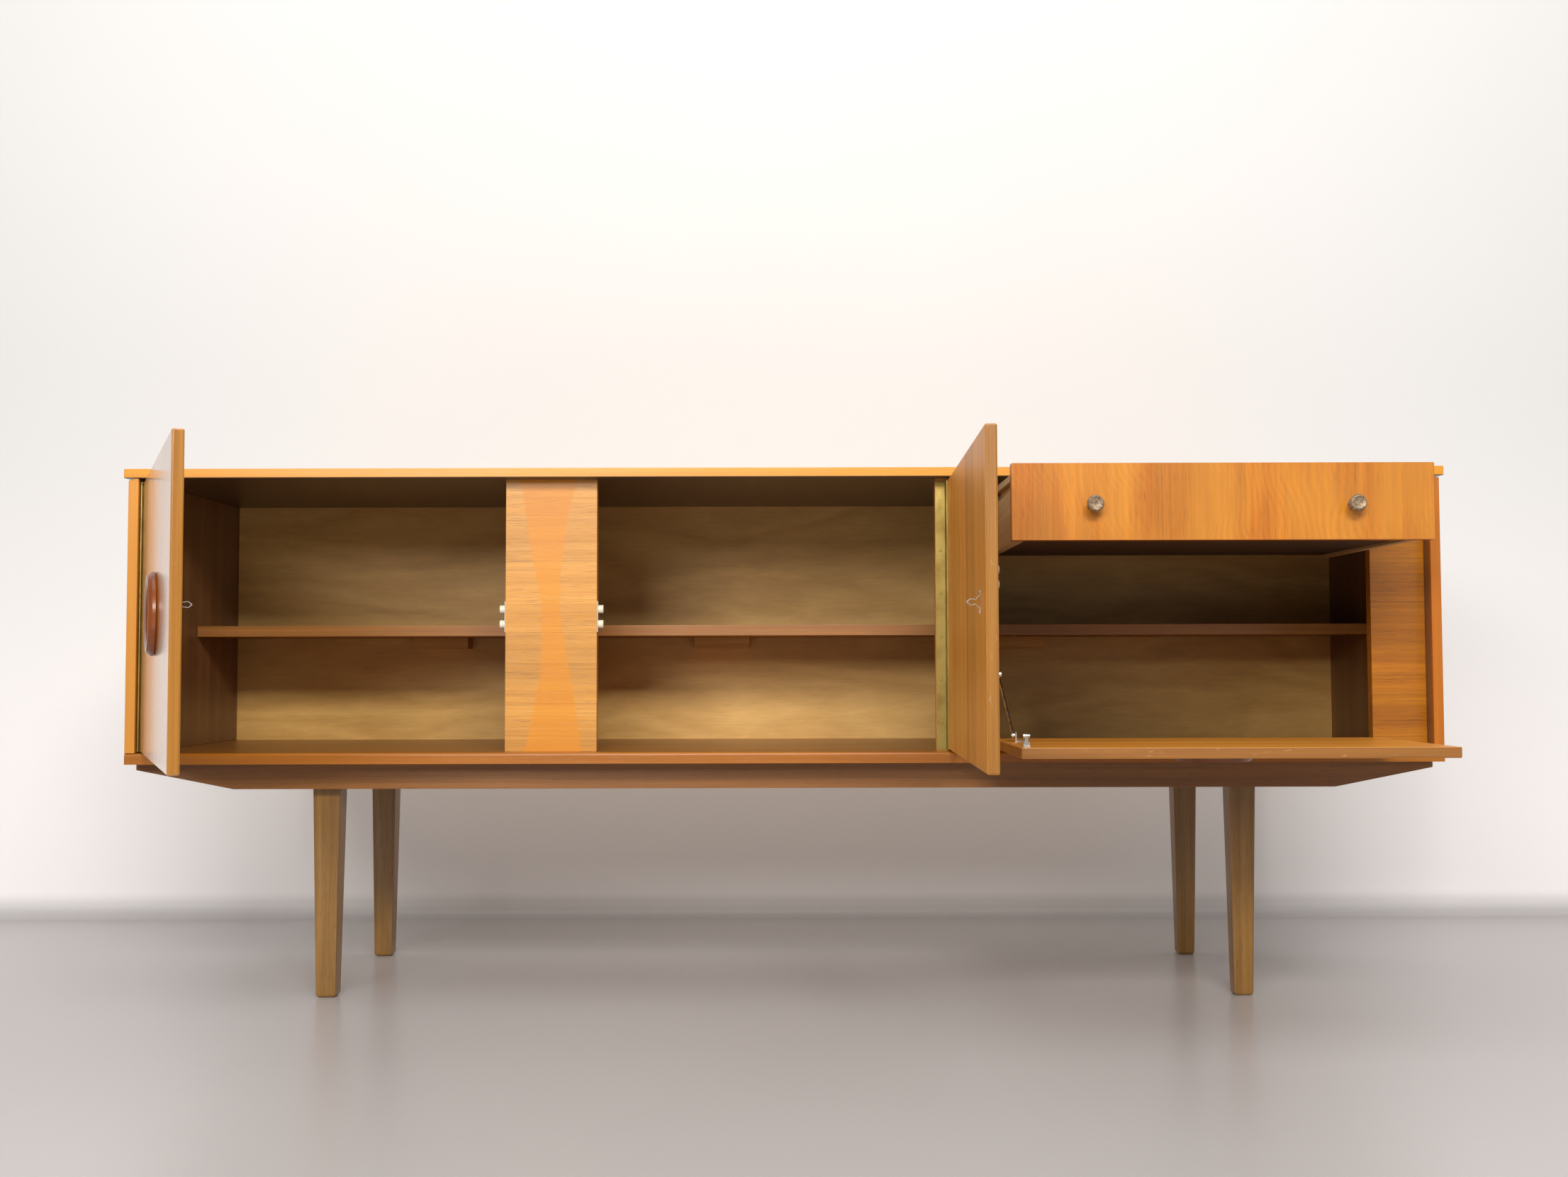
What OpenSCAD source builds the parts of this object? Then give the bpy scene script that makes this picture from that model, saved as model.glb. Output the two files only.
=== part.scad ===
// Low sideboard on tapered legs: two side-hung doors, a drop flap with a sliding stay and a drawer.
// X runs along the length, Y from the front to the back, Z up from the floor.
// Everything is drawn as it stands open: doors swung out, flap down and drawer pulled forward.

/* [Carcass] */
// Length of the carcass over its sides
body_w = 1818; // [1500:1:2100]
// Depth of the carcass
body_d = 432; // [380:1:520]
// Clear height inside the carcass
inside_h = 380.5; // [340:0.5:460]
// Thickness of the side panels
side_t = 14; // [12:0.5:22]
// Thickness of the top panel
top_t = 13; // [12:0.5:24]
// Thickness of the bottom panel
bottom_t = 15.5; // [12:0.5:24]
// How far the top reaches past each side
top_over = 6; // [0:0.5:20]
// How far the top reaches past the front and the back
top_lip = 2; // [0:0.5:10]
// Height of the shadow gap under the top's ends
shadow_h = 2.5; // [1:0.5:6]
// Depth of the shadow gap
shadow_d = 6; // [2:0.5:8]
// Thickness of the back panel
back_t = 5; // [3:0.5:9]
// Thickness of the partitions
partition_t = 15; // [12:0.5:20]

/* [Front] */
// Thickness of the doors and the flap
door_t = 13.5; // [12:0.5:20]
// Distance from the carcass front to the closed doors
door_set = 9.1; // [4:0.1:14]
// Thickness of the stiles
stile_t = 17; // [12:0.5:22]
// Place of the wide stile's centre
centre_stile_x = -325.4; // [-420:0.2:-240]
// Width of the wide stile
centre_stile_w = 127.8; // [90:0.2:180]
// Left edge of the narrow stile that carries the middle door
hinge_stile_x = 211.8; // [150:0.1:260]
// Width of the narrow stile
hinge_stile_w = 81.7; // [60:0.1:120]
// Width of the stile at the right end
end_stile_w = 75.5; // [50:0.5:120]
// Lap of the flap and the drawer front over the stiles
front_lap = 5; // [2:0.5:12]
// Gap between two closed fronts
front_gap = 1.6; // [1:0.1:4]
// Gap under the doors
door_foot_gap = 2; // [1:0.5:5]
// Gap over the doors
door_head_gap = 4.5; // [2:0.5:8]
// Gap over the drawer
drawer_head_gap = 6; // [3:0.5:10]
// Height of the drawer front
drawer_front_h = 98.5; // [95:0.5:130]

/* [How far each front stands open] */
// Swing of the left door
left_open = 65.9; // [20:0.1:100]
// Swing of the middle door
middle_open = 88.6; // [20:0.1:92]
// Swing of the flap
flap_open = 90; // [60:1:90]
// Travel of the drawer
drawer_open = 206; // [60:1:280]

/* [Hinges] */
// Radius of a hinge knuckle
knuckle_r = 2; // [1.8:0.1:3]
// Radius of the hinge pin
pin_r = 1; // [0.8:0.1:1.4]
// Running clearance of the knuckles on the pin
pin_clear = 0.05; // [0.02:0.01:0.1]
// Thickness of a hinge leaf
leaf_t = 1; // [0.8:0.1:1.2]
// Gap between the two leaves of a closed hinge
leaf_gap = 0.4; // [0.2:0.1:0.8]
// Width of a hinge leaf
leaf_w = 13; // [9:0.5:13]
// Length of one knuckle
knuckle_l = 15.4; // [12:0.1:25]
// Gap between neighbouring knuckles
knuckle_gap = 0.3; // [0.2:0.05:0.6]
// Spacing of the hinge screws
screw_pitch = 60; // [40:1:90]

/* [Shelves] */
// Thickness of a shelf
shelf_t = 16; // [10:0.5:20]
// Depth of a shelf
shelf_d = 189; // [120:1:300]
// Height of the shelf's underside over the bottom panel
shelf_rise = 165; // [120:1:220]
// Width of a cleat under a shelf
cleat_w = 90; // [50:1:140]
// Height of a cleat
cleat_h = 17.5; // [12:0.5:25]
// Depth of a cleat
cleat_d = 40; // [20:1:80]
// Clearance round a shelf
shelf_clear = 0.4; // [0.2:0.1:1]

/* [Base] */
// Height of the carcass underside over the floor
leg_h = 331; // [260:1:400]
// Width of a leg at its top
leg_top_w = 39.4; // [30:0.2:56]
// Width of a leg at its foot
leg_foot_w = 27.4; // [20:0.2:40]
// Distance of the legs from the middle
leg_x = 646; // [500:1:760]
// Height of the apron
apron_h = 37; // [25:1:60]
// Thickness of the apron and the rails
apron_t = 16; // [12:0.5:25]
// Distance of the apron from the carcass front
apron_set = 43; // [20:1:80]
// Length of the slope at each end of the apron
apron_slope = 137; // [60:1:200]
// Height of the apron's ends
apron_end_h = 10; // [6:0.5:20]

/* [Drawer] */
// Thickness of the drawer sides
drawer_side_t = 12; // [11:0.5:16]
// Thickness of the drawer bottom
drawer_bottom_t = 4; // [3:0.5:6]
// Height of the drawer sides
drawer_side_h = 90; // [84:0.5:92]
// Clearance on each side of the drawer
drawer_clear = 4; // [1:0.5:6]
// Gap behind the closed drawer
drawer_back_gap = 41; // [10:1:80]
// Height of a drawer runner
runner_h = 13; // [8:0.5:14]
// How far a runner stands into the drawer side
runner_in = 6; // [3:0.5:6]
// Clearance of a runner in its groove
runner_clear = 0.5; // [0.3:0.1:1]
// Drop of the groove below the drawer side's top
groove_drop = 9; // [5:0.5:30]
// Distance of the knobs from the drawer front's ends
knob_in = 103; // [60:1:160]
// Radius of a knob's face
knob_r = 11; // [8:0.5:16]
// How far a knob stands out
knob_out = 22; // [15:0.5:30]

/* [Pulls and catches] */
// Outer radius of a ring pull
pull_r = 51.5; // [35:0.5:60]
// Radius of the hollow in a pull
pull_hole_r = 34; // [20:0.5:42]
// How far a pull stands out
pull_out = 10; // [6:0.5:14]
// Distance of a door's pull from the door's free edge
pull_in = 255; // [60:1:300]
// Drop of the doors' pulls below mid height
pull_drop = 6; // [0:1:40]
// Radius of a catch roller
roller_r = 5.7; // [4:0.1:7]
// Length of a catch roller
roller_l = 7; // [5:0.5:10]
// Distance between the two rollers' centres
roller_pitch = 21; // [16:0.5:26]
// Height of the catches over the bottom panel
catch_rise = 188; // [150:1:240]
// Half the thickness of the strike's wire
wire_r = 0.9; // [0.7:0.1:1.2]
// Reach of the strike
strike_out = 15; // [10:0.5:18]

/* [Stay] */
// Distance of the stay's two pivots from the flap's hinge
stay_arm = 110; // [90:1:130]
// Height of the stay's foot pivot over the open flap's hinge
stay_foot_rise = 24; // [20:0.5:30]
// Lean of the stay's eye behind the hinge
stay_lean = 20; // [16:1:30]
// Radius of the stay rod
rod_r = 1.8; // [1.5:0.1:2.5]
// Clearance of the rod in its eye
rod_clear = 0.3; // [0.2:0.05:0.4]
// Distance of the rod from the partition
rod_off = 7.5; // [6:0.5:12]

/* [Hidden] */
$fn = 48;
eps = 0.01;

half_w = body_w / 2;
floor_z = leg_h + bottom_t;
ceiling_z = floor_z + inside_h;
side_in = half_w - side_t;
// From a hinge's pin to the face its fixed leaf lies on, and from there to the moving front.
hinge_half = knuckle_r + 0.1;
hinge_gap = 2 * leaf_t + leaf_gap;
hinge_back = hinge_gap - hinge_half;
stile_y = door_set + door_t + hinge_gap;
partition_y = stile_y + stile_t;
back_set = 2;
back_y = body_d - back_set - back_t;
rebate_d = 7;

door_z = floor_z + door_foot_gap;
door_h = inside_h - door_foot_gap - door_head_gap;

left_hinge = [-side_in + hinge_half, door_set - hinge_half];
left_door_x = -side_in + hinge_gap;
left_door_w = centre_stile_x - front_gap / 2 - left_door_x;
middle_hinge = [hinge_stile_x + 0.6 + leaf_w + hinge_half, stile_y - hinge_half];
middle_door_x = centre_stile_x + front_gap / 2;
middle_door_w = middle_hinge[0] - hinge_half - middle_door_x;

opening_l = hinge_stile_x + hinge_stile_w;
opening_r = side_in - end_stile_w;
front_l = opening_l - front_lap;
front_r = opening_r + front_lap;
front_w = front_r - front_l;
drawer_z = ceiling_z - drawer_head_gap - drawer_front_h;
flap_hinge = [door_set - hinge_half, floor_z + hinge_half];
flap_z = floor_z + hinge_gap;
flap_h = drawer_z - front_gap - flap_z;

// The origin lies under the middle of everything as it stands open.
middle_reach = (middle_hinge[0] - middle_door_x) * sin(middle_open)
    + (middle_hinge[1] - door_set) * cos(middle_open);
left_reach = (left_door_x + left_door_w - left_hinge[0]) * sin(left_open) - hinge_half * cos(left_open);
front_reach = min(middle_hinge[1] - middle_reach, left_hinge[1] - left_reach);
front_y = -(front_reach + body_d + top_lip) / 2;

drawer_l = opening_l + drawer_clear;
drawer_r = opening_r - drawer_clear;
drawer_front_t = door_t + 1.5;
drawer_y = door_set + drawer_front_t;
drawer_len = back_y - drawer_back_gap - drawer_y;
drawer_foot = 2;
box_z = drawer_z + drawer_foot;
groove_z = box_z + drawer_side_h - groove_drop - runner_h;
runner_y = partition_y + 2;
runner_len = back_y - 25 - runner_y;
bearer_h = ceiling_z - groove_z + 4;

catch_z = floor_z + catch_rise;
plate_t = 1.3;
plate_h = 43;
plate_d = 14;
roller_y = stile_y + 7.5;
flap_catch_z = flap_z + flap_h - 32;
shelf_z = floor_z + shelf_rise;
shelf_y = back_y - shelf_d;
leg_front_y = apron_set + apron_t + leg_top_w / 2;
leg_rear_y = body_d - 1 - leg_top_w / 2;
rear_rail_y = leg_rear_y - leg_top_w / 2 - apron_t;
rail_in = leg_x - leg_top_w / 2 - apron_t;

bays = [
    [-side_in, centre_stile_x - partition_t / 2],
    [centre_stile_x + partition_t / 2, opening_l - partition_t],
    [opening_l, side_in]
];
cleat_x = [bays[0][0] + 340, bays[1][0] + 217, bays[2][0] + 83];

foot_drop = sqrt(pow(stay_arm, 2) - pow(stay_foot_rise, 2));
stay_foot = [flap_hinge[0] - foot_drop, flap_hinge[1] + stay_foot_rise];
stay_eye_at = [
    flap_hinge[0] + stay_arm * sin(stay_lean),
    flap_hinge[1] + stay_arm * cos(stay_lean)
];
stay_span = norm(stay_eye_at - stay_foot);
stay_slope = atan2(stay_eye_at[1] - stay_foot[1], stay_eye_at[0] - stay_foot[0]);
rod_x = opening_l + rod_off;
rod_tail = 13;
eye_r = 6;
eye_plate_t = 1.5;
stub_r = 2;

// A board given by its two opposite corners.
module board(low, high) {
    translate(low) cube(high - low);
}

// Moves what is measured from the carcass front into the part's own frame.
module placed() {
    translate([0, front_y, 0]) children();
}

// Turns what is drawn closed to where it stands open.
module swung_left() {
    translate([left_hinge[0], left_hinge[1], 0]) rotate([0, 0, -left_open])
        translate([-left_hinge[0], -left_hinge[1], 0]) children();
}

module swung_middle() {
    translate([middle_hinge[0], middle_hinge[1], 0]) rotate([0, 0, middle_open])
        translate([-middle_hinge[0], -middle_hinge[1], 0]) children();
}

module dropped() {
    translate([0, flap_hinge[0], flap_hinge[1]]) rotate([flap_open, 0, 0])
        translate([0, -flap_hinge[0], -flap_hinge[1]]) children();
}

module pulled() {
    translate([0, -drawer_open, 0]) children();
}

// One leaf of a continuous hinge. Its pin runs along +Z from the origin and the leaf reaches along
// +Y with its back on x = -back. The knuckles start at the first or the second place.
module leaf(length, first, back) {
    count = floor(length / knuckle_l);
    difference() {
        union() {
            translate([-back, hinge_half, 0]) cube([leaf_t, leaf_w, length]);
            for (i = [first : 2 : count - 1]) translate([0, 0, i * knuckle_l + knuckle_gap / 2]) {
                cylinder(r = knuckle_r, h = knuckle_l - knuckle_gap);
                translate([-back, 0, 0]) cube([leaf_t, hinge_half + 0.1, knuckle_l - knuckle_gap]);
            }
        }
        translate([0, 0, -1]) cylinder(r = pin_r + pin_clear, h = length + 2);
    }
}

// A ring pull, its base on z = 0 and its dished middle closed by a thin floor.
module ring_pull() {
    crest_r = (pull_r + pull_hole_r) / 2 + 2;
    rotate_extrude($fn = 96) polygon([
        [0, 0], [pull_r - 1.5, 0], [pull_r, 2], [pull_r - 1, pull_out * 0.55],
        [pull_r - 3.5, pull_out * 0.85], [crest_r + 2, pull_out], [crest_r - 2, pull_out],
        [pull_hole_r + 3, pull_out * 0.82], [pull_hole_r + 1, pull_out * 0.55],
        [pull_hole_r - 2, pull_out * 0.3], [pull_hole_r - 12, 1.6], [0, 1.2]
    ]);
}

// A spring strike: a foot plate above and below, and a narrow loop of flat wire along +Y.
module strike() {
    neck = roller_pitch / 2 - roller_r - 0.8;
    far = strike_out;
    outer = [
        [0.5, -8.5], [far * 0.33, -neck * 0.72], [far * 0.7, -neck], [far, -wire_r],
        [far, wire_r], [far * 0.7, neck], [far * 0.33, neck * 0.72], [0.5, 8.5], [0, 8.5], [0, -8.5]
    ];
    inner = [
        [-1, -6], [1, -6], [far * 0.36, -neck * 0.72 + wire_r], [far * 0.7, -neck + wire_r],
        [far - wire_r * 1.3, 0],
        [far * 0.7, neck - wire_r], [far * 0.36, neck * 0.72 - wire_r], [1, 6], [-1, 6]
    ];
    union() {
        translate([wire_r, 0, 0]) rotate([0, -90, 0]) linear_extrude(2 * wire_r)
            mirror([1, -1]) difference() {
                polygon(outer);
                polygon(inner);
            }
        for (s = [-1, 1]) {
            translate([-2.4, 0, s * 10 - 3.6]) cube([4.8, 1, 7.2]);
            translate([0, 0.5, s * 11]) rotate([-90, 0, 0]) cylinder(r = 1.6, h = 1, $fn = 24);
        }
    }
}

// Two rollers on posts over a back plate. The plate lies on x = 0 and the rollers stand to +X.
module roller_catch() {
    union() {
        translate([0, -plate_d / 2, -plate_h / 2]) cube([plate_t, plate_d, plate_h]);
        for (s = [-1, 1]) translate([0, 0, s * roller_pitch / 2]) rotate([0, 90, 0])
            cylinder(r = roller_r, h = plate_t + roller_l);
    }
}

// One square leg that tapers evenly to its foot.
module leg(x, y) {
    half_top = leg_top_w / 2;
    half_foot = leg_foot_w / 2;
    outline = [[-half_foot, 0], [half_foot, 0], [half_top, leg_h], [-half_top, leg_h]];
    placed() color("peru") translate([x, y, 0]) intersection() {
        translate([0, leg_top_w, 0]) rotate([90, 0, 0])
            linear_extrude(2 * leg_top_w) polygon(outline);
        translate([-leg_top_w, 0, 0]) rotate([90, 0, 90])
            linear_extrude(2 * leg_top_w) polygon(outline);
    }
}

module top_panel() {
    placed() color("sandybrown") board(
        [-half_w - top_over, -top_lip, ceiling_z],
        [half_w + top_over, body_d + top_lip, ceiling_z + top_t]);
}

module bottom_panel() {
    arris = 4;
    placed() color("peru") difference() {
        board([-half_w, 0, leg_h], [half_w, body_d, floor_z]);
        board([-half_w + rebate_d, back_y, floor_z - 4], [half_w - rebate_d, body_d + 1, floor_z + 1]);
        translate([-half_w - 1, 0, floor_z]) rotate([0, 90, 0]) linear_extrude(body_w + 2)
            difference() {
                translate([-1, -1]) square([arris + 1, arris + 1]);
                translate([arris, arris]) circle(r = arris);
            }
    }
}

// The left side panel, with a rebate for the back and a shadow gap under the top.
module side_panel() {
    difference() {
        board([-half_w, 0, floor_z], [-side_in, body_d, ceiling_z]);
        board([-half_w + rebate_d, back_y, floor_z - 1], [-side_in + 1, body_d + 1, ceiling_z + 1]);
        board([-half_w - 1, -1, ceiling_z - shadow_h], [-half_w + shadow_d, body_d + 1, ceiling_z + 1]);
    }
}

module left_side() {
    placed() color("chocolate") side_panel();
}

module right_side() {
    placed() color("chocolate") mirror([1, 0, 0]) side_panel();
}

module back_panel() {
    placed() color("burlywood") board(
        [-half_w + rebate_d + 0.3, back_y, floor_z - 3.7],
        [half_w - rebate_d - 0.3, back_y + back_t, ceiling_z]);
}

module left_partition() {
    placed() color("sienna") board(
        [centre_stile_x - partition_t / 2, partition_y, floor_z],
        [centre_stile_x + partition_t / 2, back_y, ceiling_z]);
}

module right_partition() {
    placed() color("sienna") board(
        [opening_l - partition_t, partition_y, floor_z], [opening_l, back_y, ceiling_z]);
}

module stile(x0, x1) {
    placed() color("goldenrod") board([x0, stile_y, floor_z], [x1, partition_y, ceiling_z]);
}

module centre_stile() {
    stile(centre_stile_x - centre_stile_w / 2, centre_stile_x + centre_stile_w / 2);
}

module hinge_stile() {
    stile(hinge_stile_x, opening_l);
}

module end_stile() {
    stile(opening_r, side_in);
}

module shelf(bay) {
    placed() color("sienna") board(
        [bay[0] + shelf_clear, shelf_y, shelf_z], [bay[1] - shelf_clear, back_y - 1, shelf_z + shelf_t]);
}

module left_shelf() {
    shelf(bays[0]);
}

module middle_shelf() {
    shelf(bays[1]);
}

module right_shelf() {
    shelf(bays[2]);
}

module cleat(x) {
    placed() color("tan") board(
        [x - cleat_w / 2, back_y - cleat_d, shelf_z - cleat_h], [x + cleat_w / 2, back_y, shelf_z]);
}

module left_cleat() {
    cleat(cleat_x[0]);
}

module middle_cleat() {
    cleat(cleat_x[1]);
}

module right_cleat() {
    cleat(cleat_x[2]);
}

// A drawer runner between two places across the width.
module runner(x0, x1) {
    placed() color("tan") board([x0, runner_y, groove_z], [x1, runner_y + runner_len, groove_z + runner_h]);
}

module left_runner() {
    runner(opening_l, drawer_l + runner_in);
}

module right_runner() {
    runner(drawer_r - runner_in, opening_r);
}

module runner_bearer() {
    placed() color("tan") board(
        [opening_r, partition_y, ceiling_z - bearer_h], [opening_r + partition_t, back_y, ceiling_z]);
}

// The apron's outline: level underneath and rising towards both ends.
module apron_outline() {
    polygon([
        [-half_w, leg_h], [-half_w, leg_h - apron_end_h],
        [-half_w + apron_slope, leg_h - apron_h], [half_w - apron_slope, leg_h - apron_h],
        [half_w, leg_h - apron_end_h], [half_w, leg_h]
    ]);
}

module front_apron() {
    placed() color("saddlebrown") translate([0, apron_set + apron_t, 0]) rotate([90, 0, 0])
        linear_extrude(apron_t) apron_outline();
}

module rear_rail() {
    placed() color("saddlebrown") translate([0, rear_rail_y + apron_t, 0]) rotate([90, 0, 0])
        linear_extrude(apron_t) apron_outline();
}

// A rail from the apron to the rear rail, beside the legs.
module cross_rail() {
    board([rail_in, apron_set + apron_t, leg_h - apron_h + 5], [rail_in + apron_t, rear_rail_y, leg_h]);
}

module left_cross_rail() {
    placed() color("saddlebrown") mirror([1, 0, 0]) cross_rail();
}

module right_cross_rail() {
    placed() color("saddlebrown") cross_rail();
}

module front_left_leg() {
    leg(-leg_x, leg_front_y);
}

module front_right_leg() {
    leg(leg_x, leg_front_y);
}

module rear_left_leg() {
    leg(-leg_x, leg_rear_y);
}

module rear_right_leg() {
    leg(leg_x, leg_rear_y);
}

module left_door() {
    placed() color("chocolate") swung_left() board(
        [left_door_x, door_set, door_z], [left_door_x + left_door_w, door_set + door_t, door_z + door_h]);
}

module left_pull() {
    placed() color("saddlebrown") swung_left()
        translate([left_door_x + left_door_w - pull_in, door_set, door_z + door_h / 2 - pull_drop])
            rotate([90, 0, 0]) ring_pull();
}

module left_strike() {
    x = centre_stile_x - centre_stile_w / 2 - plate_t - roller_l / 2;
    placed() color("silver") swung_left() translate([x, door_set + door_t, catch_z]) strike();
}

module left_side_leaf() {
    placed() color("gold") translate([left_hinge[0], left_hinge[1], door_z]) leaf(door_h, 0, hinge_half);
}

module left_door_leaf() {
    placed() color("gold") swung_left() translate([left_hinge[0], left_hinge[1], door_z])
        mirror([1, 0, 0]) leaf(door_h, 1, hinge_back);
}

module left_hinge_pin() {
    placed() color("gold") translate([left_hinge[0], left_hinge[1], door_z]) cylinder(r = pin_r, h = door_h);
}

module middle_door() {
    placed() color("chocolate") swung_middle() board(
        [middle_door_x, door_set, door_z],
        [middle_door_x + middle_door_w, door_set + door_t, door_z + door_h]);
}

module middle_pull() {
    placed() color("saddlebrown") swung_middle()
        translate([middle_door_x + pull_in, door_set, door_z + door_h / 2 - pull_drop])
            rotate([90, 0, 0]) ring_pull();
}

module middle_strike() {
    x = centre_stile_x + centre_stile_w / 2 + plate_t + roller_l / 2;
    placed() color("silver") swung_middle()
        translate([x, door_set + door_t, catch_z]) strike();
}

// Turned so that the leaf reaches along -X and lies against the stile.
module stile_leaf() {
    placed() color("gold") translate([middle_hinge[0], middle_hinge[1], door_z])
        mirror([0, 1, 0]) rotate([0, 0, 90]) leaf(door_h, 0, hinge_half);
}

module middle_door_leaf() {
    placed() color("gold") swung_middle() translate([middle_hinge[0], middle_hinge[1], door_z])
        rotate([0, 0, 90]) leaf(door_h, 1, hinge_back);
}

module middle_hinge_pin() {
    placed() color("gold") translate([middle_hinge[0], middle_hinge[1], door_z])
        cylinder(r = pin_r, h = door_h);
}

// Round screw heads down the middle of the stile's leaf.
module stile_leaf_screws() {
    count = floor((door_h - 20) / screw_pitch) + 1;
    start = (door_h - (count - 1) * screw_pitch) / 2;
    x = middle_hinge[0] - hinge_half - leaf_w / 2;
    placed() color("gold") for (i = [0 : count - 1])
        translate([x, stile_y - leaf_t, door_z + start + i * screw_pitch]) rotate([90, 0, 0])
            cylinder(r1 = 2.3, r2 = 1.8, h = leaf_gap - 0.12, $fn = 24);
}

module flap() {
    placed() color("chocolate") dropped() board(
        [front_l, door_set, flap_z], [front_r, door_set + door_t, flap_z + flap_h]);
}

module flap_pull() {
    placed() color("saddlebrown") dropped()
        translate([(front_l + front_r) / 2, door_set, flap_z + flap_h / 2])
            rotate([90, 0, 0]) ring_pull();
}

// A strike with a round head on a slim neck, near the flap's free edge.
module flap_strike() {
    x = opening_l + plate_t + roller_l / 2;
    face = door_set + door_t;
    placed() color("silver") dropped() translate([x, face, flap_catch_z]) union() {
        board([-3.4, 0, -7], [5, 1, 9]);
        board([-3.4, 0.5, -2.4], [4.8, 6, 2.4]);
        board([-1.4, 5, -0.9], [2.8, 12.5, 0.9]);
        translate([-3.4, 13.3, 0]) rotate([0, 90, 0]) cylinder(r = 2.7, h = 8.2, $fn = 24);
    }
}

module floor_leaf() {
    placed() color("gold") translate([front_l, flap_hinge[0], flap_hinge[1]])
        rotate([0, 90, 0]) mirror([1, 0, 0]) leaf(front_w, 0, hinge_half);
}

module flap_leaf() {
    placed() color("gold") dropped() translate([front_l, flap_hinge[0], flap_hinge[1]])
        rotate([0, 90, 0]) leaf(front_w, 1, hinge_back);
}

module flap_hinge_pin() {
    placed() color("gold") translate([front_l, flap_hinge[0], flap_hinge[1]]) rotate([0, 90, 0])
        cylinder(r = pin_r, h = front_w);
}

module left_catch() {
    placed() color("ivory") translate([centre_stile_x - centre_stile_w / 2, roller_y, catch_z])
        mirror([1, 0, 0]) roller_catch();
}

module middle_catch() {
    placed() color("ivory") translate([centre_stile_x + centre_stile_w / 2, roller_y, catch_z])
        roller_catch();
}

module flap_catch() {
    placed() color("ivory") translate([opening_l, roller_y, flap_catch_z]) roller_catch();
}

// An angle with its foot on the flap and a pivot in its upright. Drawn where it stands open.
module stay_bracket() {
    plate = 1.8;
    x = rod_x + rod_r + 0.4;
    face = flap_hinge[1] + hinge_half + door_t;
    placed() color("silver") difference() {
        union() {
            board([x, stay_foot[0] - 6, face], [x + plate, stay_foot[0] + 6, stay_foot[1] + 5]);
            board([x, stay_foot[0] - 6, face], [x + 14, stay_foot[0] + 6, face + plate]);
            translate([rod_x - 2.4, stay_foot[0], stay_foot[1]]) rotate([0, 90, 0])
                cylinder(r = 1.2, h = x - rod_x + 2.4 + plate / 2, $fn = 24);
        }
        translate([x + 9, stay_foot[0], face - 1]) cylinder(r = 1.6, h = plate + 2, $fn = 24);
    }
}

// A rod with an eye at its foot and a stop at its tail.
module stay_rod() {
    placed() color("dimgray") translate([rod_x, stay_foot[0], stay_foot[1]]) rotate([stay_slope, 0, 0])
        difference() {
            union() {
                rotate([-90, 0, 0]) cylinder(r = rod_r, h = stay_span + rod_tail);
                translate([-rod_r * 0.8, 0, 0]) rotate([0, 90, 0]) cylinder(r = 4, h = 1.6 * rod_r);
                translate([0, stay_span + rod_tail - 2, 0]) rotate([-90, 0, 0])
                    cylinder(r = rod_r + 1.4, h = 2);
            }
            translate([-5, 0, 0]) rotate([0, 90, 0]) cylinder(r = 1.25, h = 10, $fn = 24);
        }
}

// The swivelling eye: a drum that the rod slides through, turning on a stub.
module stay_eye() {
    x0 = opening_l + eye_plate_t + 0.2;
    x1 = rod_x + rod_r + rod_clear + 1.6;
    placed() color("silver") translate([0, stay_eye_at[0], stay_eye_at[1]]) rotate([stay_slope, 0, 0])
        difference() {
            translate([x0, 0, 0]) rotate([0, 90, 0]) cylinder(r = eye_r, h = x1 - x0);
            translate([rod_x, -20, 0]) rotate([-90, 0, 0]) cylinder(r = rod_r + rod_clear, h = 40);
            translate([x0 - 1, 0, 0]) rotate([0, 90, 0])
                cylinder(r = stub_r + pin_clear, h = rod_x - rod_r - x0 + 1 - rod_clear - 0.4);
        }
}

module stay_plate() {
    stub_l = rod_x - rod_r - rod_clear - 0.6 - opening_l - eye_plate_t;
    placed() color("silver") translate([opening_l, stay_eye_at[0], stay_eye_at[1]])
        rotate([0, 90, 0]) union() {
            cylinder(r = eye_r + 3, h = eye_plate_t);
            cylinder(r = stub_r, h = eye_plate_t + stub_l);
        }
}

module drawer_front() {
    placed() color("darkorange") pulled() board(
        [front_l, door_set, drawer_z], [front_r, drawer_y, drawer_z + drawer_front_h]);
}

// The left side of the drawer: grooved outside for its runner and inside for the bottom.
module drawer_side() {
    difference() {
        board(
            [drawer_l, drawer_y, box_z],
            [drawer_l + drawer_side_t, drawer_y + drawer_len, box_z + drawer_side_h]);
        board(
            [drawer_l - 1, drawer_y - 1, groove_z - runner_clear],
            [
                drawer_l + runner_in + runner_clear, drawer_y + drawer_len + 1,
                groove_z + runner_h + runner_clear
            ]);
        board(
            [drawer_l + drawer_side_t - 4, drawer_y - 1, box_z + 4],
            [drawer_l + drawer_side_t + 1, drawer_y + drawer_len + 1, box_z + 4.3 + drawer_bottom_t]);
    }
}

module drawer_left_side() {
    placed() color("wheat") pulled() drawer_side();
}

module drawer_right_side() {
    placed() color("wheat") pulled() translate([drawer_l + drawer_r, 0, 0]) mirror([1, 0, 0]) drawer_side();
}

module drawer_back() {
    placed() color("wheat") pulled() board(
        [drawer_l + drawer_side_t, drawer_y + drawer_len - drawer_side_t, box_z + 4.3 + drawer_bottom_t],
        [drawer_r - drawer_side_t, drawer_y + drawer_len, box_z + drawer_side_h - 6]);
}

module drawer_bottom() {
    placed() color("wheat") pulled() board(
        [drawer_l + drawer_side_t - 3.8, drawer_y, box_z + 4.1],
        [drawer_r - drawer_side_t + 3.8, drawer_y + drawer_len, box_z + 4.1 + drawer_bottom_t]);
}

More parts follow.
